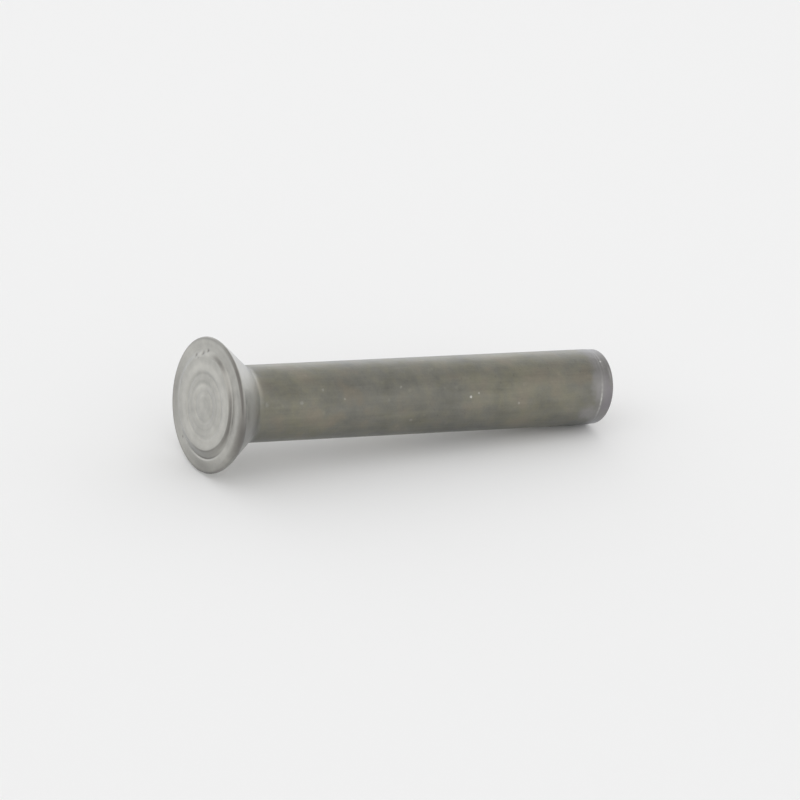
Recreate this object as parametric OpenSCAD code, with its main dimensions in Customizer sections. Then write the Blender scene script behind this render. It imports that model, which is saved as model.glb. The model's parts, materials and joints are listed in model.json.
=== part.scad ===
// Solid countersunk rivet, cold headed from drawn wire and cut off square.
// It stands on its head: the face of the head is at z = 0 and the shank points up.

/* [Shank] */
// Diameter of the shank
shank_d = 5; // [3:0.1:7]
// Overall length, from the face of the head to the cut end
length = 30; // [12:0.5:80]

/* [Head] */
// Diameter of the head at its rim
head_d = 8.9; // [7.5:0.1:14]
// Full angle of the countersunk cone, in degrees
cone_angle = 78; // [60:1:120]
// Radius that rounds the rim
rim_round = 0.12; // [0.05:0.01:0.3]
// Radius of the fillet where the cone runs into the shank
neck_fillet = 0.9; // [0.1:0.05:1.2]

/* [Face of the head] */
// Diameter of the raised pad that the heading punch leaves in the middle of the face
pad_d = 6.5; // [5:0.1:7.6]
// Height of the pad above the ledge around it
pad_h = 0.22; // [0.1:0.01:0.5]
// Slope of the pad's wall against the face, in degrees
pad_slope = 60; // [30:1:80]
// Radius that rounds the pad's edge and the corner at its foot
pad_round = 0.1; // [0.02:0.01:0.2]

/* [Rings in the pad] */
// Number of shallow rings that the turned punch prints in the pad
ring_count = 2; // [0:1:2]
// Distance from the axis to the first ring, and from one ring to the next
ring_pitch = 1.05; // [0.6:0.05:1.4]
// Width of a ring
ring_w = 0.45; // [0.2:0.05:0.6]
// Depth of a ring
ring_depth = 0.04; // [0.01:0.01:0.1]

/* [Cut end] */
// Length of the sheared band at the cut end
band_len = 0.85; // [0.4:0.05:2]
// Depth of the band below the shank's surface
band_depth = 0.03; // [0.01:0.01:0.1]
// Radius that rounds the edge of the cut end
cut_round = 0.12; // [0.05:0.01:0.3]

/* [Hidden] */
$fn = 128;
// Straight steps in each rounded corner of the section
arc_steps = 8;

shank_r = shank_d / 2;
head_r = head_d / 2;
pad_r = pad_d / 2;
band_r = shank_r - band_depth;

// Outward normal of the cone, as an angle above the radius
cone_normal = cone_angle / 2;
normal = [cos(cone_normal), sin(cone_normal)];

// Centre of the rim's rounding, which touches the ledge and the cone
rim_centre = [head_r - rim_round, pad_h + rim_round];
// Centre of the neck's fillet, which touches the cone and the shank
neck_x = shank_r + neck_fillet;
cone_gap = rim_round + neck_fillet - (neck_x - rim_centre[0]) * normal[0];
neck_centre = [neck_x, rim_centre[1] + cone_gap / normal[1]];

// The pad's edge and foot share one radius, which its wall limits
pad_bend = min(pad_round, pad_h / (2 * (1 - cos(pad_slope))));
pad_wall = (pad_h - 2 * pad_bend * (1 - cos(pad_slope))) / tan(pad_slope);
pad_foot_x = pad_r + pad_wall + 2 * pad_bend * sin(pad_slope);

// A ring is a shallow arc: its radius comes from its width and depth
ring_bend = (pow(ring_w / 2, 2) + pow(ring_depth, 2)) / (2 * ring_depth);
ring_half_angle = asin(ring_w / 2 / ring_bend);

// Points of an arc about a centre, from one angle to another
function arc(centre, radius, from, to) = [
    for (i = [0 : arc_steps])
        let (angle = from + (to - from) * i / arc_steps)
            centre + radius * [cos(angle), sin(angle)]
];

// Points of the rings, from the innermost outwards
function rings() = [
    for (i = [1 : 1 : ring_count])
        let (centre = [i * ring_pitch, ring_depth - ring_bend])
            each arc(centre, ring_bend, 90 + ring_half_angle, 90 - ring_half_angle)
];

// Half section, from the middle of the face round to the middle of the cut end
module section() {
    polygon(concat(
        [[0, 0]],
        rings(),
        arc([pad_r, pad_bend], pad_bend, -90, pad_slope - 90),
        arc([pad_foot_x, pad_h - pad_bend], pad_bend, pad_slope + 90, 90),
        arc(rim_centre, rim_round, -90, cone_normal),
        arc(neck_centre, neck_fillet, 180 + cone_normal, 180),
        [[shank_r, length - band_len], [band_r, length - band_len + band_depth]],
        arc([band_r - cut_round, length - cut_round], cut_round, 0, 90),
        [[0, length]]
    ));
}

module rivet() {
    color([0.47, 0.46, 0.42])
        rotate_extrude()
            section();
}

rivet();
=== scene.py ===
import json
import math

import bpy
import numpy as np
from mathutils import Matrix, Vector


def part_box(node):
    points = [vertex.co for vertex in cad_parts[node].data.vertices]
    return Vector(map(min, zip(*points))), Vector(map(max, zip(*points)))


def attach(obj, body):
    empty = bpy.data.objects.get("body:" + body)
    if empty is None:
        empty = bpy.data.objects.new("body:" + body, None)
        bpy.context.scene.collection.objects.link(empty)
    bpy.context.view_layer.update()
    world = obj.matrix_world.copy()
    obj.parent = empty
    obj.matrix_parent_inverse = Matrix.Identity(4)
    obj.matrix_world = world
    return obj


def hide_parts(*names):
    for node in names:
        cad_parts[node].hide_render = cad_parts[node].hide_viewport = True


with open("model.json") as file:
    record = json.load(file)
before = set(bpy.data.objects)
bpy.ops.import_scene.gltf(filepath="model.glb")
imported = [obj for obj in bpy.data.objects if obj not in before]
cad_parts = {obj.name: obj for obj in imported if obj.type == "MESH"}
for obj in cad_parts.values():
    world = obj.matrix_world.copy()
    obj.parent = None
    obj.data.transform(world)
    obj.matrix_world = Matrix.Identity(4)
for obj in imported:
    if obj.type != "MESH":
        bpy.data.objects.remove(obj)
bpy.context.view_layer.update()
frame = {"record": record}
mm = 0.001  # metres in a millimetre

nodeLow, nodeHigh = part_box("rivet")
shankPin = next(mount for mount in frame["record"]["mounts"] if mount["name"] == "shank")

# the rivet's section in millimetres, as the solid has it
section = {
    "length": (nodeHigh[2] - nodeLow[2]) / mm,
    "headR": max(nodeHigh[0] - nodeLow[0], nodeHigh[1] - nodeLow[1]) / 2 / mm,
    "shankR": shankPin["dims"]["r_mm"],
    "coneAngle": 78,  # degrees, side to side
    "rimRound": 0.12,
    "neckFillet": 0.9,
    "padH": 0.22,  # height of the raised pad in the middle of the face
    "bandLen": 0.85,  # sheared band at the cut end
    "bandDepth": 0.03,
    "cutRound": 0.12,
}
rimZ = section["padH"] + section["rimRound"]  # height of the widest circle
cutZ = section["length"] - section["cutRound"]
bandR = section["shankR"] - section["bandDepth"]
creaseZ = section["length"] - section["bandLen"]

# how the photograph was taken, with the rivet lying on its rim and its cut end
photo = {
    "side": 800,  # pixels
    "rimPixel": (208.45, 405.88),  # where the rim's centre is seen
    "pixelsPerMm": 15.641,  # at the rim
    "distance": 427.1,  # mm from the lens to the rim
    "yaw": 32.24,  # degrees that the shank runs away from the picture
    "pitch": 2.47,  # degrees that it climbs in the picture
    "roll": 9.2,  # degrees that the picture is turned clockwise
    "tableSide": 202,  # degrees round the axis to the side that lies on the table
    "sensor": 36,  # mm
    "clip": (0.01, 10),  # nearest and farthest metres that the lens sees
}


def unit(vector):
    return vector / np.linalg.norm(vector)


def lyingPose(p):
    # camera axes are right, down and forward. The shank's direction comes from yaw and pitch.
    # The table's normal points up the rolled picture and leans on the shank by the rim's overhang,
    # which gives the camera's height angle.
    yaw, pitch, roll = (math.radians(p[name]) for name in ("yaw", "pitch", "roll"))
    shank = np.array([math.cos(yaw) * math.cos(pitch), -math.sin(pitch), math.sin(yaw) * math.cos(pitch)])
    lean = math.atan2(section["headR"] - bandR, cutZ - rimZ)
    across = math.sin(roll) * shank[0] - math.cos(roll) * shank[1]
    height = math.acos(-math.sin(lean) / math.hypot(across, shank[2])) - math.atan2(shank[2], across)
    normal = np.array([
        math.sin(roll) * math.cos(height),
        -math.cos(roll) * math.cos(height),
        -math.sin(height),
    ])
    down = -(normal + math.sin(lean) * shank) / math.cos(lean)
    return shank, down, normal, height


shankSeen, downSeen, tableSeen, cameraHeight = lyingPose(photo)
tableAngle = math.radians(photo["tableSide"])
downRow = np.array([math.cos(tableAngle), math.sin(tableAngle), 0])
shankRow = np.array([0, 0, 1])
seenBasis = np.stack([downSeen, np.cross(shankSeen, downSeen), shankSeen], axis=1)
rowBasis = np.stack([downRow, np.cross(shankRow, downRow), shankRow], axis=1)
rowFromSeen = rowBasis @ seenBasis.T  # turns camera axes into the rivet's own

focal = photo["pixelsPerMm"] * photo["distance"]  # pixels
rimSeen = np.array([
    (photo["rimPixel"][0] - photo["side"] / 2) / photo["pixelsPerMm"],
    (photo["rimPixel"][1] - photo["side"] / 2) / photo["pixelsPerMm"],
    photo["distance"],
])
eye = np.array([0, 0, rimZ]) - rowFromSeen @ rimSeen
tableNormal = rowFromSeen @ tableSeen
forward = rowFromSeen @ np.array([0, 0, 1])

# clock degrees on the rivet: 0 faces the camera's side, 90 is up in the picture
facing = unit(-forward * np.array([1, 1, 0]))
clockStart = math.degrees(math.atan2(facing[1], facing[0]))


def polar(radius, clock):
    # a clock angle runs against the row's own angle
    angle = np.radians(clockStart - np.asarray(clock))
    return radius * np.cos(angle), radius * np.sin(angle)


def addCamera():
    # the lens sees `side` pixels across the sensor
    data = bpy.data.cameras.new("photoCamera")
    data.sensor_width = photo["sensor"]
    data.lens = focal / photo["side"] * photo["sensor"]
    data.clip_start, data.clip_end = photo["clip"]
    camera = bpy.data.objects.new("photoCamera", data)
    place = np.eye(4)
    place[:3, :3] = rowFromSeen @ np.diag([1.0, -1.0, -1.0])
    place[:3, 3] = eye * mm
    camera.matrix_world = Matrix(place.tolist())
    bpy.context.scene.collection.objects.link(camera)
    bpy.context.scene.camera = camera


addCamera()
print("camera at", np.round(eye, 1), "mm, looking down", round(math.degrees(cameraHeight), 1), "degrees")


# shader nodes

def addNode(tree, kind, settings=None, inputs=None):
    # a new node with its settings, and its inputs as values or links
    made = tree.nodes.new(kind)
    for name, value in (settings or {}).items():
        setattr(made, name, value)
    for key, value in (inputs or {}).items():
        if isinstance(value, bpy.types.NodeSocket):
            tree.links.new(value, made.inputs[key])
        else:
            made.inputs[key].default_value = value
    return made


def calc(tree, operation, *values):
    return addNode(tree, "ShaderNodeMath", {"operation": operation}, dict(enumerate(values))).outputs[0]


def vectorCalc(tree, operation, *values):
    made = addNode(tree, "ShaderNodeVectorMath", {"operation": operation}, dict(enumerate(values)))
    return made.outputs["Value" if operation in ("DOT_PRODUCT", "LENGTH") else "Vector"]


def ramp(tree, value, low, high, toLow=0.0, toHigh=1.0):
    # smooth step of a value between low and high
    made = addNode(tree, "ShaderNodeMapRange", {"interpolation_type": "SMOOTHSTEP"}, {
        "Value": value, "From Min": low, "From Max": high, "To Min": toLow, "To Max": toHigh,
    })
    return made.outputs["Result"]


def blendColour(tree, mask, first, second):
    # first colour where the mask is 0, second where it is 1
    made = addNode(tree, "ShaderNodeMix", {"data_type": "RGBA"})
    for socket, value in ((made.inputs[0], mask), (made.inputs[6], first), (made.inputs[7], second)):
        if isinstance(value, bpy.types.NodeSocket):
            tree.links.new(value, socket)
        else:
            socket.default_value = value if isinstance(value, float) else (*value, 1)
    return made.outputs[2]


def blendValue(tree, mask, first, second):
    return addNode(tree, "ShaderNodeMix", None, {0: mask, 2: first, 3: second}).outputs[0]


def scaleColour(tree, colour, gain):
    return vectorCalc(tree, "MULTIPLY", colour, addNode(tree, "ShaderNodeCombineXYZ", None, {
        0: gain, 1: gain, 2: gain,
    }).outputs[0])


def newMaterial(name):
    material = bpy.data.materials.new(name)
    material.use_nodes = True
    material.node_tree.nodes.clear()
    return material, material.node_tree


# stage

stage = {
    "reach": 300,  # mm from the rivet to the table's edge
    "tableGap": 0.01,  # mm between the table and the rivet
    "standGap": 0.02,
    "table": (0.9, 0.9, 0.9),
    "stand": (0.86, 0.86, 0.86),
    "rough": 0.9,
    "shine": 0.1,
}


def paleSheet(name):
    # pale from the front, clear from behind
    material, tree = newMaterial(name)
    shade = addNode(tree, "ShaderNodeBsdfPrincipled", None, {
        "Base Color": (*stage[name], 1), "Roughness": stage["rough"], "Specular IOR Level": stage["shine"],
    })
    clear = addNode(tree, "ShaderNodeBsdfTransparent")
    side = addNode(tree, "ShaderNodeNewGeometry").outputs["Backfacing"]
    mixed = addNode(tree, "ShaderNodeMixShader", None, {
        0: side, 1: shade.outputs[0], 2: clear.outputs[0],
    })
    addNode(tree, "ShaderNodeOutputMaterial", None, {"Surface": mixed.outputs[0]})
    return material


def addSheet(name, centre, along, normal):
    # a square in the plane of a normal, out to the reach on each side
    across = np.cross(normal, along)
    steps = ((-1, -1), (1, -1), (1, 1), (-1, 1))
    corners = [centre + stage["reach"] * (a * along + b * across) for a, b in steps]
    mesh = bpy.data.meshes.new(name)
    mesh.from_pydata([tuple(corner * mm) for corner in corners], [], [(0, 1, 2, 3)])
    mesh.materials.append(paleSheet(name))
    sheet = bpy.data.objects.new(name, mesh)
    bpy.context.scene.collection.objects.link(sheet)
    return sheet


def addStage():
    # the table touches the rim and the cut end; the stand is under the head
    foot = downRow * section["headR"] + shankRow * rimZ - tableNormal * stage["tableGap"]
    alongTable = unit(shankRow - (shankRow @ tableNormal) * tableNormal)
    table = addSheet("table", foot, alongTable, tableNormal)
    table.visible_shadow = False
    # the stand ends where the table's plane cuts it
    lean = (stage["standGap"] + rimZ) * tableNormal[2] / (downRow @ tableNormal)
    middle = (section["headR"] + lean - stage["reach"]) * downRow - stage["standGap"] * shankRow
    stand = addSheet("stand", middle, downRow, shankRow)
    for ray in ("diffuse", "glossy", "transmission", "volume_scatter", "shadow"):
        setattr(stand, "visible_" + ray, False)


addStage()

# light

studio = {
    "softbox": {"height": 80, "compass": -20, "distance": 300, "size": 340, "share": 0.13},
    "even": 0.08,  # brightness from everywhere
    "background": 0.89,  # what the camera sees behind the table
    "fade": 0.5,  # cosine at which a panel of the light tent has faded out
    # panels of the light tent: height above the table, compass and brightness; none is low in front
    "panels": (
        (90, 0, 0.34), (50, 180, 0.37), (45, 90, 0.08),
        (4, 0, 0.95), (5, 50, 0.84), (12, 100, 0.27), (12, 140, 0.57),
        (12, -135, 1.0), (12, -90, 0.42), (5, -45, 0.68),
    ),
}


def towards(height, compass):
    # a direction from the table: height above it, and compass degrees from straight behind to the right
    behind = unit(forward - (forward @ tableNormal) * tableNormal)
    right = np.cross(behind, tableNormal)
    lift, turn = math.radians(height), math.radians(compass)
    level = math.cos(turn) * behind + math.sin(turn) * right
    return math.sin(lift) * tableNormal + math.cos(lift) * level


def addSoftbox(name, lamp):
    # power that lights a white sheet to `share` of white, from its distance
    data = bpy.data.lights.new(name, "AREA")
    data.shape = "SQUARE"
    data.size = lamp["size"] * mm
    data.energy = lamp["share"] * (math.pi * lamp["distance"] * mm) ** 2
    aim = np.array([0, 0, section["length"] / 2])
    back = towards(lamp["height"], lamp["compass"])
    side = unit(np.cross(tableNormal, back))
    place = np.eye(4)
    place[:3, :3] = np.stack([side, np.cross(back, side), back], axis=1)
    place[:3, 3] = (aim + lamp["distance"] * back) * mm
    softbox = bpy.data.objects.new(name, data)
    softbox.matrix_world = Matrix(place.tolist())
    bpy.context.scene.collection.objects.link(softbox)


def addTent(s):
    # brightness of a direction: an even level, and a smooth spot about each panel's direction
    world = bpy.data.worlds.new("lightTent")
    bpy.context.scene.world = world
    world.use_nodes = True
    tree = world.node_tree
    tree.nodes.clear()
    place = addNode(tree, "ShaderNodeTexCoord").outputs["Generated"]
    level = s["even"]
    for height, compass, bright in s["panels"]:
        lean = vectorCalc(tree, "DOT_PRODUCT", place, tuple(towards(height, compass)))
        level = calc(tree, "ADD", level, ramp(tree, lean, s["fade"], 1.0, 0.0, bright))
    light, plain = (
        addNode(tree, "ShaderNodeBackground", None, {"Color": (1, 1, 1, 1), "Strength": strength}).outputs[0]
        for strength in (level, s["background"])
    )
    seen = addNode(tree, "ShaderNodeLightPath").outputs["Is Camera Ray"]
    mixed = addNode(tree, "ShaderNodeMixShader", None, {0: seen, 1: light, 2: plain})
    addNode(tree, "ShaderNodeOutputWorld", None, {"Surface": mixed.outputs[0]})


addSoftbox("softbox", studio["softbox"])
addTent(studio)
bpy.context.scene.view_settings.view_transform = "Standard"
print("stage and light ready")


# rivet shape

shape = {
    "around": 320,  # points round the axis
    "rows": {"pad": 72, "wall": 14, "ledge": 24, "rim": 14, "cone": 28, "neck": 12,
             "shank": 52, "crease": 14, "band": 8, "edge": 8, "cut": 30},
    "padOff": (0.14, 124),  # mm and clock degrees from the axis to the pad's own middle
    "wallMid": 3.28,  # radius at the middle of the pad's wall
    "wallHalf": 0.27,  # half its width, where it is soft
    "wallTight": ((-17, 42, 0.18), (52, 18, 0.1)),  # clock, spread and how much narrower it is there
    "wallSteep": 0.15,  # how much narrower it is where it is fully steep
    "wallIn": (-95, 36, 0.07),  # clock, spread and how far the wall is drawn in
    "wallOut": (50, 22, 0.12),  # and how far it stands out
    # mm that it is out of round, by waves a turn times slower waves that are shifted by some degrees
    "wallWave": {"high": 0.025, "turns": 5, "slower": 2, "shift": 30},
    # strength, share of the way down and spread of its painted dark lines of shade, and an even strength of
    # painted shade where it is drawn in
    "wallGrime": {"steep": (0.86, 0.35, 0.45), "edge": (0.35, 0.1, 0.12), "drawn": 0.35},
    "rings": ((1.05, 0.45, 0.04), (1.6, 0.25, 0.012), (2.1, 0.45, 0.04)),  # radius, width and depth
    "ringsEnd": (0.93, 0.99),  # shares of the pad's radius between which the rings fade out
    # lighter and darker bands that the punch leaves, partly the steel's own tone and partly painted light and
    # shade that makes them
    # stronger on one side: radius, spread, strength on their strong side and elsewhere
    "bands": (
        (0.4, 0.15, -0.3, -0.05), (0.68, 0.15, 0.75, -0.25), (0.95, 0.1, -0.4, -0.05),
        (1.26, 0.19, 1.15, -0.15), (1.6, 0.12, -0.65, -0.16), (1.85, 0.12, -0.2, 0.14),
        (2.12, 0.12, -0.9, 0.0), (2.52, 0.22, 0.95, 0.7), (3.0, 0.15, -0.15, 0.15),
    ),
    "bandLitClock": (90, 47),  # clock and spread of their strong side, where painted light and shade add to them
    # a lip outside the pad's foot, how bright its painted highlight is, and strength, distance and spread of
    # the painted shade inside it
    "lip": {"clock": -100, "spread": 30, "off": 0.08, "wide": 0.06, "high": 0.05,
            "shine": 0.6, "paintedShade": (0.7, -0.03, 0.06)},
    # radius, clock, width and depth of small pits round the pad's foot
    "pits": (
        (3.38, 104, 0.12, 0.07), (3.36, 89, 0.13, 0.06), (3.55, 81, 0.11, 0.05), (3.05, 97, 0.1, 0.03),
        (3.75, -150, 0.08, 0.03),
    ),
    # how dark the pits are painted, as painted shade
    "pitShade": 0.8,
    "rimWear": (0.27, -44, 38),  # mm, clock and spread of the side where the rim is rubbed round
    "rimWave": {"high": 0.012, "turns": 3, "shift": 40},  # mm, waves a turn and degrees
    # clock, spread and strength of the painted shade on the rim, dark reflections painted where its rounding
    # turns away, how far from its edge they end and are full, and the height at which they stop behind it
    "rimShade": (
        (0, 1000, 0.4, 0.24, 0.08, 0.45), (12, 30, 0.75, 0.27, 0.12, 0.38),
        (-32, 34, 0.95, 0.78, 0.2, 1.2), (-72, 28, 0.4, 0.34, 0.14, 0.6),
        (-102, 26, 0.42, 1.0, 0.6, 0.4), (165, 24, 0.35, 1.0, 0.6, 0.4),
    ),
    "rimShadeFade": 0.1,  # mm over which they stop
    "coneShade": (-38, 32, 0.24),  # clock, spread and strength of the painted shade on the cone
    "slowSide": (32, 27),  # clock and spread of the side where the film begins slowly, whose lighter steel there is partly painted light over the shade in the neck
    # the burr stands this far behind the crease, and is uneven by two waves a turn
    "burr": {"high": 0.03, "wide": 0.055, "clock": -22, "spread": 21, "behind": 0.02,
             "uneven": 0.35, "turns": (31, 17)},
    "step": {"wide": 0.12, "spread": 33.6, "least": 0.35},  # down to the band, less deep away from the burr
    "creaseRun": 0.25,  # mm on each side of the crease where the rows are close
    "creaseTilt": (0.12, -40),  # mm and clock degrees that the sheared band runs out of square
    "cutTilt": (0.08, 62),
    "cutRound": (0.05, 0.14),  # the sheared edge is sharp on its high side and rolled over on its low side
    "rollOver": 0.02,  # mm that the band draws in on its low side
    # mm, shares of the radius where it ends, how deep the slid part is, and where the torn part steps down
    "cutDish": {"deep": 0.05, "edge": (0.7, 0.95), "least": 0.4, "step": (-0.05, 0.3)},
    "cutWave": (0.15, 2.2),  # share of the radius and radians per mm by which that step's line waves
    # height, clock, width and depth of shallow dents in the shank
    "dents": (
        (8.2, 20, 0.6, 0.012), (14.4, -39, 0.7, 0.015), (21.0, 35, 0.8, 0.015), (25.5, -15, 0.6, 0.012),
        (11.0, 150, 0.7, 0.015), (18.0, -160, 0.6, 0.012),
    ),
}


def bell(value, wide):
    return np.exp(-(value / wide) ** 2)


def easeStep(value, low, high):
    share = np.clip((value - low) / (high - low), 0, 1)
    return share * share * (3 - 2 * share)


def turnGap(first, second):
    # shortest way between two angles in degrees
    return (first - second + 180) % 360 - 180


def runRows(first, last, count):
    # rows of rings on the straight run between two rings, without those two
    share = np.linspace(0, 1, count + 2)[1:-1, None]
    return first[0] * (1 - share) + last[0] * share, first[1] * (1 - share) + last[1] * share


def bendRows(centre, radius, start, stop, count):
    # rows of rings on an arc: centre plus radius times cosine and sine of angles from start to stop
    angle = np.radians(np.linspace(start, stop, count))[:, None]
    return centre[0] + radius * np.cos(angle), centre[1] + radius * np.sin(angle)


def wallRows(p, s, clock):
    # the pad's wall, from its edge to its foot: a smooth step where it is soft,
    # and a parabola that starts steeply where it is tight
    tight = sum(bell(turnGap(clock, at), spread) * less for at, spread, less in s["wallTight"])
    middle = s["wallMid"]
    for side, (at, spread, far) in ((-1, s["wallIn"]), (1, s["wallOut"])):
        middle = middle + side * far * bell(turnGap(clock, at), spread)
    wave = s["wallWave"]
    slower = np.cos(np.radians(wave["slower"] * clock + wave["shift"]))
    middle = middle + wave["high"] * np.sin(np.radians(wave["turns"] * clock)) * slower
    half = s["wallHalf"] - tight
    sharp = np.clip(tight / s["wallSteep"], 0, 1)
    share = np.linspace(0, 1, s["rows"]["wall"])[:, None]
    fall = (1 - sharp) * easeStep(share, 0, 1) + sharp * (1 - (1 - share) ** 2)
    return middle + half * (2 * share - 1), p["padH"] * fall, share, sharp


def rivetRows(p, s, clock):
    # radius and height of every ring, each a function of the clock: the half section's runs and arcs,
    # whose rim, pad wall and cut edge change from one side to the other
    rows = s["rows"]
    level = np.ones(clock.shape)
    lean = math.radians(p["coneAngle"] / 2)
    normal = math.cos(lean), math.sin(lean)

    # the rim is an arc that touches the ledge and the cone; where it is worn its radius is larger
    deep, at, spread = s["rimWear"]
    rimBend = p["rimRound"] + deep * bell(turnGap(clock, at), spread)
    wave = s["rimWave"]
    rimBend = rimBend + wave["high"] * (1 + np.sin(np.radians(wave["turns"] * clock + wave["shift"])))
    coneReach = (p["headR"] - p["rimRound"]) * normal[0] + rimZ * normal[1] + p["rimRound"]
    rimX = (coneReach - rimBend - (p["padH"] + rimBend) * normal[1]) / normal[0]
    rimCentre = rimX, p["padH"] + rimBend
    coneStart = rimX + rimBend * normal[0], p["padH"] + rimBend + rimBend * normal[1]

    # the fillet touches the cone and the shank
    neckX = p["shankR"] + p["neckFillet"]
    neckZ = (coneReach + p["neckFillet"] - neckX * normal[0]) / normal[1]
    coneEnd = (neckX - p["neckFillet"] * normal[0]) * level, (neckZ - p["neckFillet"] * normal[1]) * level

    # the band's edge and the cut run out of square, each by a cosine of the clock
    tilt, at = s["creaseTilt"]
    crease = creaseZ - tilt * np.cos(np.radians(clock - at))
    tilt, at = s["cutTilt"]
    high = np.cos(np.radians(clock - at))
    low = (1 - high) / 2
    cutTop = p["length"] - tilt + tilt * high
    cutBend = s["cutRound"][0] + (s["cutRound"][1] - s["cutRound"][0]) * low
    endR = bandR - s["rollOver"] * low
    wallR, wallZ, _, _ = wallRows(p, s, clock)
    creaseLow, creaseHigh = crease - s["creaseRun"], crease + s["creaseRun"]
    shankR, padZ = p["shankR"] * level, p["padH"] * level
    zones = {
        "pad": runRows((0 * level, 0 * level), (wallR[0], 0 * level), rows["pad"]),
        "wall": (wallR, wallZ),
        "ledge": runRows((wallR[-1], padZ), (rimX, padZ), rows["ledge"]),
        "rim": bendRows(rimCentre, rimBend, -90, p["coneAngle"] / 2, rows["rim"]),
        "cone": runRows(coneStart, coneEnd, rows["cone"]),
        "neck": bendRows((neckX * level, neckZ * level), p["neckFillet"] * level,
                         180 + p["coneAngle"] / 2, 180, rows["neck"]),
        "shank": runRows((shankR, neckZ * level), (shankR, creaseLow), rows["shank"]),
        "crease": runRows((shankR, creaseLow), (shankR, creaseHigh), rows["crease"]),
        "band": runRows((bandR * level, creaseHigh), (endR, cutTop - cutBend), rows["band"]),
        "edge": bendRows((endR - cutBend, cutTop - cutBend), cutBend, 0, 90, rows["edge"]),
        "cut": runRows((endR - cutBend, cutTop), (0 * level, (p["length"] - tilt) * level), rows["cut"]),
    }
    spans, first = {}, 0
    for name, (r, z) in zones.items():
        spans[name] = slice(first, first + len(r))
        first += len(r)
    r, z = (np.concatenate([zone[axis] for zone in zones.values()]) for axis in (0, 1))
    return r, z, spans, crease


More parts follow.
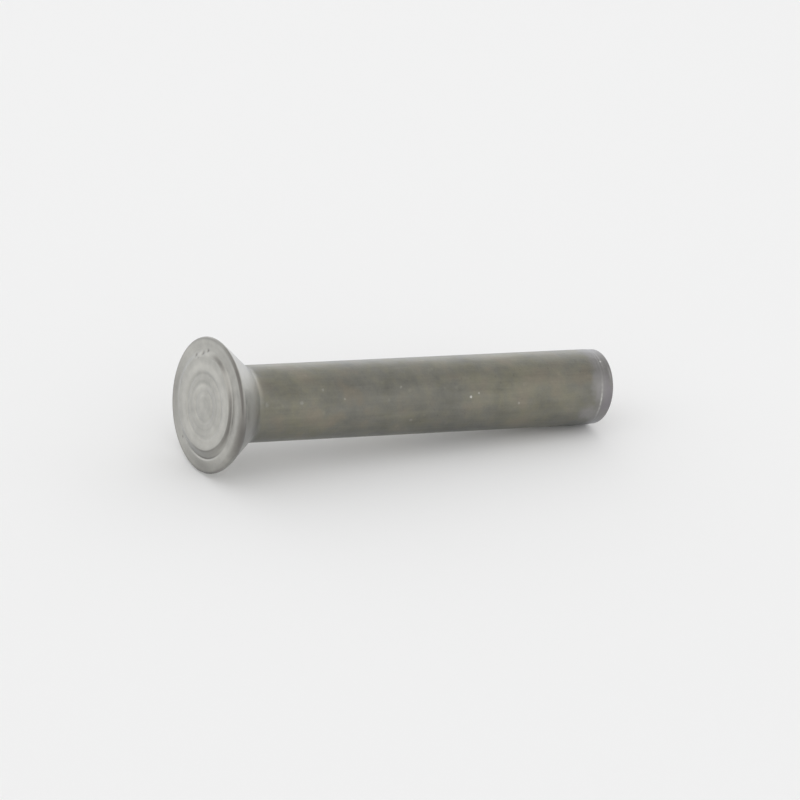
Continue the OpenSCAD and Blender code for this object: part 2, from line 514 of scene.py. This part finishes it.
def rivetGrid(p, s):
    # the rings in space, pressed in or out by the marks on them, and masks of painted shade, of bright rubbed
    # metal with a painted highlight, of lighter or darker tone that is partly painted light and shade, and of
    # the side where the film begins slowly
    angle = np.linspace(0, 2 * np.pi, s["around"], endpoint=False)
    clock = turnGap(clockStart - np.degrees(angle), 0)
    r, z, spans, crease = rivetRows(p, s, clock)
    paintedShade, rubbedAndHighlight, tone = (np.zeros(r.shape) for _ in range(3))

    # the burr stands on the crease, behind the step down to the band, and is painted brighter along its ridge
    burr, step = s["burr"], s["step"]
    part = spans["crease"]
    past = z[part] - crease
    first, second = (np.radians(turns * clock) for turns in burr["turns"])
    uneven = 1 - burr["uneven"] + burr["uneven"] * np.sin(first) * np.cos(second)
    away = turnGap(clock, burr["clock"])
    ridge = bell(past + burr["behind"], burr["wide"]) * bell(away, burr["spread"]) * uneven
    drop = p["bandDepth"] * (step["least"] + (1 - step["least"]) * bell(away, step["spread"]))
    r[part] += burr["high"] * ridge - drop * easeStep(past, 0.0, step["wide"])
    rubbedAndHighlight[part] = ridge

    # shallow dents in the shank
    part = spans["shank"]
    for dentZ, dentClock, wide, deep in s["dents"]:
        gap = np.hypot(z[part] - dentZ, np.radians(turnGap(clock, dentClock)) * p["shankR"])
        r[part] -= deep * bell(gap, wide)

    # the face is carried with the pad's own middle, less and less towards the rim
    x, y = r * np.cos(angle), r * np.sin(angle)
    carry = np.zeros((len(r), 1))
    carry[:spans["wall"].stop] = 1
    carry[spans["ledge"]] = np.linspace(1, 0, s["rows"]["ledge"])[:, None]
    offX, offY = polar(*s["padOff"])
    x, y = x + carry * offX, y + carry * offY

    # rings of the punch: squared cosines of the distance from the axis, and soft bands of tone between them,
    # partly painted light and shade that is stronger on one side
    part = spans["pad"]
    reach = np.hypot(x, y)
    inside = 1 - easeStep(r[part] / r[part].max(axis=0), *s["ringsEnd"])
    for ring, wide, deep in s["rings"]:
        share = np.clip((reach[part] - ring) / wide, -0.5, 0.5)
        z[part] += deep * np.cos(np.pi * share) ** 2 * inside
    at, spread = s["bandLitClock"]
    near = bell(turnGap(clock, at), spread)
    for ring, wide, strong, weak in s["bands"]:
        tone[part] += bell(reach[part] - ring, wide) * (weak + (strong - weak) * near)

    # painted shade on the pad's wall: a soft dark line below its edge where it is steep, and where it is
    # drawn in an even dark coat that is darker along the edge
    part = spans["wall"]
    _, _, share, sharp = wallRows(p, s, clock)
    drawn = bell(turnGap(clock, s["wallIn"][0]), s["wallIn"][1])
    paintedDark = s["wallGrime"]
    steepLine, edgeLine = (deep * bell(share - at, wide) for deep, at, wide in (paintedDark["steep"], paintedDark["edge"]))
    paintedShade[part] = steepLine * sharp + drawn * (paintedDark["drawn"] + edgeLine)

    # a thin lip stands outside the foot with a painted highlight on it and painted shade inside it, and pits
    # lie round it, darkened with painted shade
    lip = s["lip"]
    part = slice(spans["wall"].start, spans["ledge"].stop)
    beyond = r[part] - r[spans["ledge"]][:1]
    near = bell(turnGap(clock, lip["clock"]), lip["spread"])
    ridge = bell(beyond - lip["off"], lip["wide"]) * near
    z[part] -= lip["high"] * ridge
    rubbedAndHighlight[part] += lip["shine"] * ridge
    deep, at, wide = lip["paintedShade"]
    paintedShade[part] += deep * bell(beyond - at, wide) * near
    for pitR, pitClock, wide, deep in s["pits"]:
        pitX, pitY = polar(pitR, pitClock)
        hole = bell(np.hypot(x[part] - pitX, y[part] - pitY), wide)
        z[part] += deep * hole
        paintedShade[part] += s["pitShade"] * hole

    # the rim has painted shade and dark reflections: a little all round, in a thin line on one side and
    # widely where it is worn
    part = slice(spans["ledge"].start, spans["rim"].stop)
    inward = p["headR"] - reach[part]
    for at, spread, deep, wide, full, back in s["rimShade"]:
        near = (1 - easeStep(inward, full, wide)) * (1 - easeStep(z[part], back - s["rimShadeFade"], back))
        paintedShade[part] += deep * near * bell(turnGap(clock, at), spread)
    at, spread, deep = s["coneShade"]
    paintedShade[spans["cone"]] += deep * bell(turnGap(clock, at), spread)

    # the cut is dished, with a step where the shear gave way to the break
    part = spans["cut"]
    dish, (waveHigh, waveRate) = s["cutDish"], s["cutWave"]
    tilt, at = s["cutTilt"]
    dirX, dirY = polar(1.0, at)
    across = (x[part] * dirX + y[part] * dirY) / bandR
    inner = 1 - easeStep(r[part] / bandR, *dish["edge"])
    wave = waveHigh * np.sin(waveRate * (y[part] * dirX - x[part] * dirY))
    z[part] += tilt * across - tilt * r[part] / bandR * np.cos(np.radians(turnGap(clock, at)))
    torn = easeStep(across + wave, *dish["step"])
    z[part] -= dish["deep"] * inner * (dish["least"] + (1 - dish["least"]) * torn)

    points = np.stack([x, y, z], axis=-1)
    at, spread = s["slowSide"]
    slow = np.broadcast_to(bell(turnGap(clock, at), spread), r.shape)
    masks = {"paintedShade": np.clip(paintedShade, 0, 1), "rubbedAndHighlight": np.clip(rubbedAndHighlight, 0, 1), "tone": tone, "slow": slow}
    return points, spans, masks


def closedRevolve(name, points):
    # grid rows become bands of quads, with a fan of triangles to a pole at each end
    rows, around = points.shape[:2]
    poles = np.array([points[0].mean(axis=0), points[-1].mean(axis=0)])
    places = np.concatenate([points.reshape(-1, 3), poles]) * mm
    index = np.arange(rows * around).reshape(rows, around)
    after = np.roll(index, -1, axis=1)
    quads = np.stack([index[:-1], after[:-1], after[1:], index[1:]], axis=-1).reshape(-1, 4)
    start = np.stack([np.full(around, rows * around), after[0], index[0]], axis=-1)
    end = np.stack([np.full(around, rows * around + 1), index[-1], after[-1]], axis=-1)
    mesh = bpy.data.meshes.new(name)
    mesh.from_pydata(places.tolist(), [], start.tolist() + quads.tolist() + end.tolist())
    mesh.polygons.foreach_set("use_smooth", np.ones(len(mesh.polygons), dtype=bool))
    return mesh


def addMask(mesh, name, rows):
    # one number for each point of the grid, and none at the poles
    layer = mesh.attributes.new(name, "FLOAT", "POINT")
    layer.data.foreach_set("value", np.concatenate([rows.ravel(), [0, 0]]).astype(np.float32))


# rivet finish

finish = {
    "filmOlive": (0.212, 0.204, 0.154),
    "filmGrey": (0.203, 0.2, 0.175),
    "filmBrown": (0.205, 0.186, 0.148),
    "bare": (0.45, 0.443, 0.41),
    "sheared": (0.235, 0.228, 0.22),
    "purpleTint": (0.25, 0.235, 0.248),
    # dark colour of the painted shade
    "paintedShade": (0.13, 0.122, 0.113),
    # bright metal of the nicks, painted brighter along the burr's ridge, and a painted highlight on the lip
    "rubbedAndHighlight": (0.62, 0.615, 0.58),
    "patch": (0.34, 0.33, 0.325),
    "edgeTint": (0.93, 0.95, 1.0),  # cool sheen where the surface turns away
    "oil": 0.3,  # thin oil over the steel
    "oilRough": 0.3,
    "rough": (0.38, 0.42),  # of bare steel and of the film
    "shadeMix": 0.93,  # how much of the steel the painted shade hides at most
    "filmStart": (1.65, 3.05),  # mm from the face, where the dark film begins and is full
    "slowStart": (0.9, 3.8),  # the same on the side where it comes slowly
    "tailStart": (28.3, 29.0),  # mm, where it is rubbed off again
    "shearedStart": (20.0, 25.0),  # mm, under the film, where the steel of the head gives way to the end's
    # height, clock, size and strength of the pale nicks in the film
    "nicks": (
        (18.72, -6.6, 0.11, 0.9), (19.34, -1.3, 0.1, 0.5), (22.51, -19.7, 0.11, 0.25), (7.5, 15, 0.12, 0.18),
        (9.07, -0.1, 0.1, 0.22), (5.82, -2.7, 0.16, 0.16), (3.2, -3.1, 0.2, 0.12), (13.41, 13.6, 0.12, 0.22),
        (14.36, -39.2, 0.16, 0.18), (29.41, 40.6, 0.11, 0.9), (11.6, 160, 0.12, 0.6), (20.3, -150, 0.11, 0.7),
    ),
    # height, clock, size along, size around and strength of larger rubbed patches
    "patches": ((28.1, -44, 1.0, 1.1, 0.6), (28.85, -4, 0.95, 1.5, 0.75), (29.8, 18, 0.15, 0.8, 1.0)),
    "purple": ((29.5, -18, 0.6, 1.7, 0.9),),
    "patchCore": 0.0,  # share of a spot's size where it is full
    "spotCore": 0.3,
    # waves per mm of the noises, across and along the lines that the die draws, and along the radius
    "fineScale": 1.6,
    "broadScale": 0.5,
    "drawnLines": (7.0, 7.0, 0.3),
    "streakLines": (1.3, 1.3, 0.3),
    "turnedLines": (4.2, 4.2, 1.0),
    "darkSpecks": {"Scale": 2.6, "Share": 0.1},
    "paleSpecks": {"Scale": 1.7, "Share": 0.08},
    # values of the hue's noise from grey to olive, and of the mottling from there to most brown
    "oliveRange": (-0.5, 0.5),
    "brownRange": (0.0, 0.6, 0.0, 0.8),
    # weights of the noises, the first four in mm
    "ragged": {"broad": 0.3, "fine": 0.2, "grain": 0.05},
    "tailRagged": {"broad": 0.25},
    "wander": {"broad": 0.08},
    "bump": {"grain": 0.006, "fine": 0.01, "drawn": 0.004, "dark": -0.008},
    "smudge": {"fine": 0.4, "grain": 0.1},
    "nickRagged": {"grain": 0.6},
    "hue": {"clouds": 0.7, "fine": 0.4},
    "filmGain": {"clouds": 0.15, "broad": 0.22, "fine": 0.09, "grain": 0.07, "drawn": 0.05, "streaks": 0.12,
                 "dark": -0.1, "pale": 0.1},
    "bareGain": {"turned": 0.07, "broad": 0.14, "fine": 0.12, "grain": 0.04, "tone": 0.21},
    "roughGain": {"fine": 0.05, "grain": 0.03, "turned": 0.03},
    "bumpStrength": 0.6,
}

cutFinish = {
    "slid": (0.4, 0.39, 0.375),
    "torn": (0.3, 0.29, 0.28),
    "tornStart": (0.05, 0.55),  # mm past the middle, where the torn part begins and is full
    "rough": (0.34, 0.52),  # of the slid and of the torn part
    # waves per mm of the noises, and across and along the drag lines
    "scale": 2.0,
    "dragLines": (6.0, 0.5, 1.0),
    "darkSpecks": {"Scale": 3.5, "Share": 0.3},
    # weights of the noises, the first three in mm
    "ragged": {"mottle": 0.25},
    "slidBump": {"lines": 0.006},
    "tornBump": {"grain": 0.02, "mottle": 0.03, "dark": -0.02},
    "slidGain": {"lines": 0.22, "mottle": 0.06},
    "tornGain": {"grain": 0.25, "mottle": 0.15, "dark": -0.3},
    "roughGain": {"lines": 0.03, "grain": 0.04},
    "bumpStrength": 0.7,
}

noiseGain = 3.2  # brings a noise, less its middle, to about 1 at most
speckEdge = (0.3, 0.12)  # shares of a cell where a speck ends and is full


def newGroup(name, inputs, outputs):
    group = bpy.data.node_groups.new(name, "ShaderNodeTree")
    for label, kind in inputs:
        group.interface.new_socket(label, in_out="INPUT", socket_type=kind)
    for label in outputs:
        group.interface.new_socket(label, in_out="OUTPUT", socket_type="NodeSocketFloat")
    return group, group.nodes.new("NodeGroupInput").outputs, group.nodes.new("NodeGroupOutput").inputs


def evenNoise(tree, vector, scale, detail):
    # noise about 0, mostly between -1 and 1
    noise = addNode(tree, "ShaderNodeTexNoise", None, {"Vector": vector, "Scale": scale, "Detail": detail})
    return calc(tree, "MULTIPLY", calc(tree, "SUBTRACT", noise.outputs["Fac"], 0.5), noiseGain)


def steelToneGroup():
    # soft clouds, mottling and fine grain of one scale, as three noises about 0
    group, given, result = newGroup(
        "steelTone",
        (("Vector", "NodeSocketVector"), ("Scale", "NodeSocketFloat")),
        ("Clouds", "Mottle", "Grain"),
    )
    for label, times, detail in (("Clouds", 0.3, 2.0), ("Mottle", 1.0, 3.0), ("Grain", 5.0, 3.0)):
        scale = calc(group, "MULTIPLY", given["Scale"], times)
        group.links.new(evenNoise(group, given["Vector"], scale, detail), result[label])
    return group


def toolLinesGroup():
    # lines that a tool or a die draws: noise whose place is squeezed across them and drawn out along them
    group, given, result = newGroup(
        "toolLines",
        (("Vector", "NodeSocketVector"), ("Squeeze", "NodeSocketVector")),
        ("Lines",),
    )
    place = vectorCalc(group, "MULTIPLY", given["Vector"], given["Squeeze"])
    group.links.new(evenNoise(group, place, 1.0, 3.0), result["Lines"])
    return group


def specksGroup():
    # small round spots: near the middle of a cell, in the share of cells whose own number is low
    group, given, result = newGroup(
        "specks",
        (("Vector", "NodeSocketVector"), ("Scale", "NodeSocketFloat"), ("Share", "NodeSocketFloat")),
        ("Spots",),
    )
    cells = addNode(group, "ShaderNodeTexVoronoi", None, {"Vector": given["Vector"], "Scale": given["Scale"]})
    draw = addNode(group, "ShaderNodeSeparateColor", None, {0: cells.outputs["Color"]}).outputs[0]
    chosen = calc(group, "LESS_THAN", draw, given["Share"])
    spot = ramp(group, cells.outputs["Distance"], *speckEdge)
    group.links.new(calc(group, "MULTIPLY", spot, chosen), result["Spots"])
    return group


groups = {"tone": steelToneGroup(), "lines": toolLinesGroup(), "specks": specksGroup()}


def useGroup(tree, name, **inputs):
    return addNode(tree, "ShaderNodeGroup", {"node_tree": groups[name]}, inputs).outputs


def placeInMm(tree):
    return vectorCalc(tree, "MULTIPLY", addNode(tree, "ShaderNodeTexCoord").outputs["Object"], (1 / mm,) * 3)


def meshMask(tree, name):
    return addNode(tree, "ShaderNodeAttribute", {"attribute_name": name}).outputs["Fac"]


def weigh(tree, values, weights):
    # sum of named values, each times its weight
    total = None
    for name, weight in weights.items():
        part = calc(tree, "MULTIPLY", values[name], weight)
        total = part if total is None else calc(tree, "ADD", total, part)
    return total


def gainOf(tree, values, weights):
    return calc(tree, "ADD", 1.0, weigh(tree, values, weights))


def joinPlace(tree, first, second):
    return addNode(tree, "ShaderNodeCombineXYZ", None, {0: first, 1: second}).outputs[0]


def spotMask(tree, place, spots, fuzz, core):
    # largest of oval spots on the shank, each full out to the share `core` of its size
    best = None
    for height, clock, along, around, strength in spots:
        x, y = polar(section["shankR"], clock)
        away = vectorCalc(tree, "SUBTRACT", place, (float(x), float(y), height))
        away = vectorCalc(tree, "LENGTH", vectorCalc(tree, "DIVIDE", away, (around, around, along)))
        spot = ramp(tree, calc(tree, "ADD", away, fuzz), 1.0, core, 0.0, strength)
        best = spot if best is None else calc(tree, "MAXIMUM", best, spot)
    return best


def metalSurface(tree, colour, rough, height, strength, coat=None):
    # metal whose bump has its height in millimetres
    bump = addNode(tree, "ShaderNodeBump", None, {"Strength": strength, "Distance": mm, "Height": height})
    shade = addNode(tree, "ShaderNodeBsdfPrincipled", None, {
        "Base Color": colour, "Metallic": 1.0, "Roughness": rough, "Normal": bump.outputs[0], **(coat or {}),
    })
    addNode(tree, "ShaderNodeOutputMaterial", None, {"Surface": shade.outputs[0]})


def rivetSteel(f):
    # bare steel with turned rings on the head, and a mottled film with drawn lines on the shank
    material, tree = newMaterial("rivetSteel")
    place = placeInMm(tree)
    x, y, z = addNode(tree, "ShaderNodeSeparateXYZ", None, {0: place}).outputs
    radius = vectorCalc(tree, "LENGTH", joinPlace(tree, x, y))
    fine = useGroup(tree, "tone", Vector=place, Scale=f["fineScale"])
    broad = useGroup(tree, "tone", Vector=place, Scale=f["broadScale"])
    values = {
        "clouds": broad["Clouds"], "broad": broad["Mottle"], "fine": fine["Mottle"], "grain": fine["Grain"],
        "drawn": useGroup(tree, "lines", Vector=place, Squeeze=f["drawnLines"])["Lines"],
        "streaks": useGroup(tree, "lines", Vector=place, Squeeze=f["streakLines"])["Lines"],
        "dark": useGroup(tree, "specks", Vector=place, **f["darkSpecks"])["Spots"],
        "pale": useGroup(tree, "specks", Vector=place, **f["paleSpecks"])["Spots"],
        "tone": meshMask(tree, "tone"),
    }
    ringPlace = joinPlace(tree, radius, weigh(tree, values, f["wander"]))
    values["turned"] = useGroup(tree, "lines", Vector=ringPlace, Squeeze=f["turnedLines"])["Lines"]

    # the film covers the shank from the neck to the sheared band, with ragged ends
    raggedZ = calc(tree, "ADD", z, weigh(tree, values, f["ragged"]))
    quick, slow = (ramp(tree, raggedZ, *f[name]) for name in ("filmStart", "slowStart"))
    # on the slow side the lighter steel reaches further, partly painted light over the shade in the neck
    start = blendValue(tree, meshMask(tree, "slow"), quick, slow)
    end = ramp(tree, calc(tree, "ADD", z, weigh(tree, values, f["tailRagged"])), *f["tailStart"])
    film = calc(tree, "MULTIPLY", start, calc(tree, "SUBTRACT", 1.0, end))
    smudge = weigh(tree, values, f["smudge"])
    patch = spotMask(tree, place, f["patches"], smudge, f["patchCore"])
    purple = spotMask(tree, place, f["purple"], smudge, f["spotCore"])
    nicks = [(height, clock, size, size, strength) for height, clock, size, strength in f["nicks"]]
    nick = spotMask(tree, place, nicks, weigh(tree, values, f["nickRagged"]), f["spotCore"])

    # colours are laid over each other: film on steel, then the end's tints, painted shade, and rubbed metal
    # with a painted highlight
    olive = ramp(tree, weigh(tree, values, f["hue"]), *f["oliveRange"])
    brown = ramp(tree, values["broad"], *f["brownRange"])
    filmColour = blendColour(tree, olive, f["filmGrey"], f["filmOlive"])
    filmColour = blendColour(tree, brown, filmColour, f["filmBrown"])
    bareColour = blendColour(tree, ramp(tree, z, *f["shearedStart"]), f["bare"], f["sheared"])
    filmGain, bareGain = (gainOf(tree, values, f[name]) for name in ("filmGain", "bareGain"))
    colour = blendColour(
        tree, film, scaleColour(tree, bareColour, bareGain), scaleColour(tree, filmColour, filmGain),
    )
    for mask, tint in ((purple, "purpleTint"), (patch, "patch")):
        colour = blendColour(tree, mask, colour, scaleColour(tree, f[tint], bareGain))
    # painted shade darkens the steel on the pad's wall, the lip, the pits, the rim and the cone
    paintedDark = calc(tree, "MULTIPLY", meshMask(tree, "paintedShade"), f["shadeMix"])
    colour = blendColour(tree, paintedDark, colour, f["paintedShade"])
    # nicks of rubbed bright metal, the burr's brighter ridge, and the painted highlight on the lip
    shine = calc(tree, "MAXIMUM", meshMask(tree, "rubbedAndHighlight"), nick)
    colour = blendColour(tree, shine, colour, f["rubbedAndHighlight"])

    rough = calc(tree, "ADD", blendValue(tree, film, *f["rough"]), weigh(tree, values, f["roughGain"]))
    metalSurface(tree, colour, rough, weigh(tree, values, f["bump"]), f["bumpStrength"], {
        "Specular Tint": (*f["edgeTint"], 1), "Coat Weight": f["oil"], "Coat Roughness": f["oilRough"],
    })
    return material


def cutSteel(f):
    # burnished drag lines where the shear slid, and dull torn grain where the wire broke
    material, tree = newMaterial("cutSteel")
    place = placeInMm(tree)
    ahead = (*(float(part) for part in polar(1.0, shape["cutTilt"][1])), 0.0)
    along = vectorCalc(tree, "DOT_PRODUCT", place, ahead)
    beside = vectorCalc(tree, "DOT_PRODUCT", place, (-ahead[1], ahead[0], 0.0))
    tone = useGroup(tree, "tone", Vector=place, Scale=f["scale"])
    dragPlace = joinPlace(tree, beside, along)
    values = {
        "mottle": tone["Mottle"], "grain": tone["Grain"],
        "lines": useGroup(tree, "lines", Vector=dragPlace, Squeeze=f["dragLines"])["Lines"],
        "dark": useGroup(tree, "specks", Vector=place, **f["darkSpecks"])["Spots"],
    }
    waveHigh, waveRate = shape["cutWave"]
    wave = calc(tree, "SINE", calc(tree, "MULTIPLY", beside, waveRate))
    edge = calc(tree, "ADD", along, calc(tree, "MULTIPLY", wave, waveHigh * bandR))
    torn = ramp(tree, calc(tree, "ADD", edge, weigh(tree, values, f["ragged"])), *f["tornStart"])
    slidColour, tornColour = (
        scaleColour(tree, f[name], gainOf(tree, values, f[name + "Gain"])) for name in ("slid", "torn")
    )
    colour = blendColour(tree, torn, slidColour, tornColour)
    rough = calc(tree, "ADD", blendValue(tree, torn, *f["rough"]), weigh(tree, values, f["roughGain"]))
    height = blendValue(tree, torn, weigh(tree, values, f["slidBump"]), weigh(tree, values, f["tornBump"]))
    metalSurface(tree, colour, rough, height, f["bumpStrength"])
    return material


def addRivet():
    # the grid's mesh with its masks and its two materials
    points, spans, masks = rivetGrid(section, shape)
    mesh = closedRevolve("rivetBody", points)
    for name, rows in masks.items():
        addMask(mesh, name, rows)
    mesh.materials.append(rivetSteel(finish))
    mesh.materials.append(cutSteel(cutFinish))
    # the first face of the cut follows the fan of the face and the quads of the rings before it
    onCut = np.arange(len(mesh.polygons)) >= shape["around"] * (1 + spans["cut"].start)
    mesh.polygons.foreach_set("material_index", onCut.astype(np.int32))
    body = bpy.data.objects.new("rivetBody", mesh)
    bpy.context.scene.collection.objects.link(body)
    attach(body, "root")
    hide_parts("rivet")
    print("rivet has", sum(len(f.vertices) - 2 for f in mesh.polygons), "triangles")


addRivet()
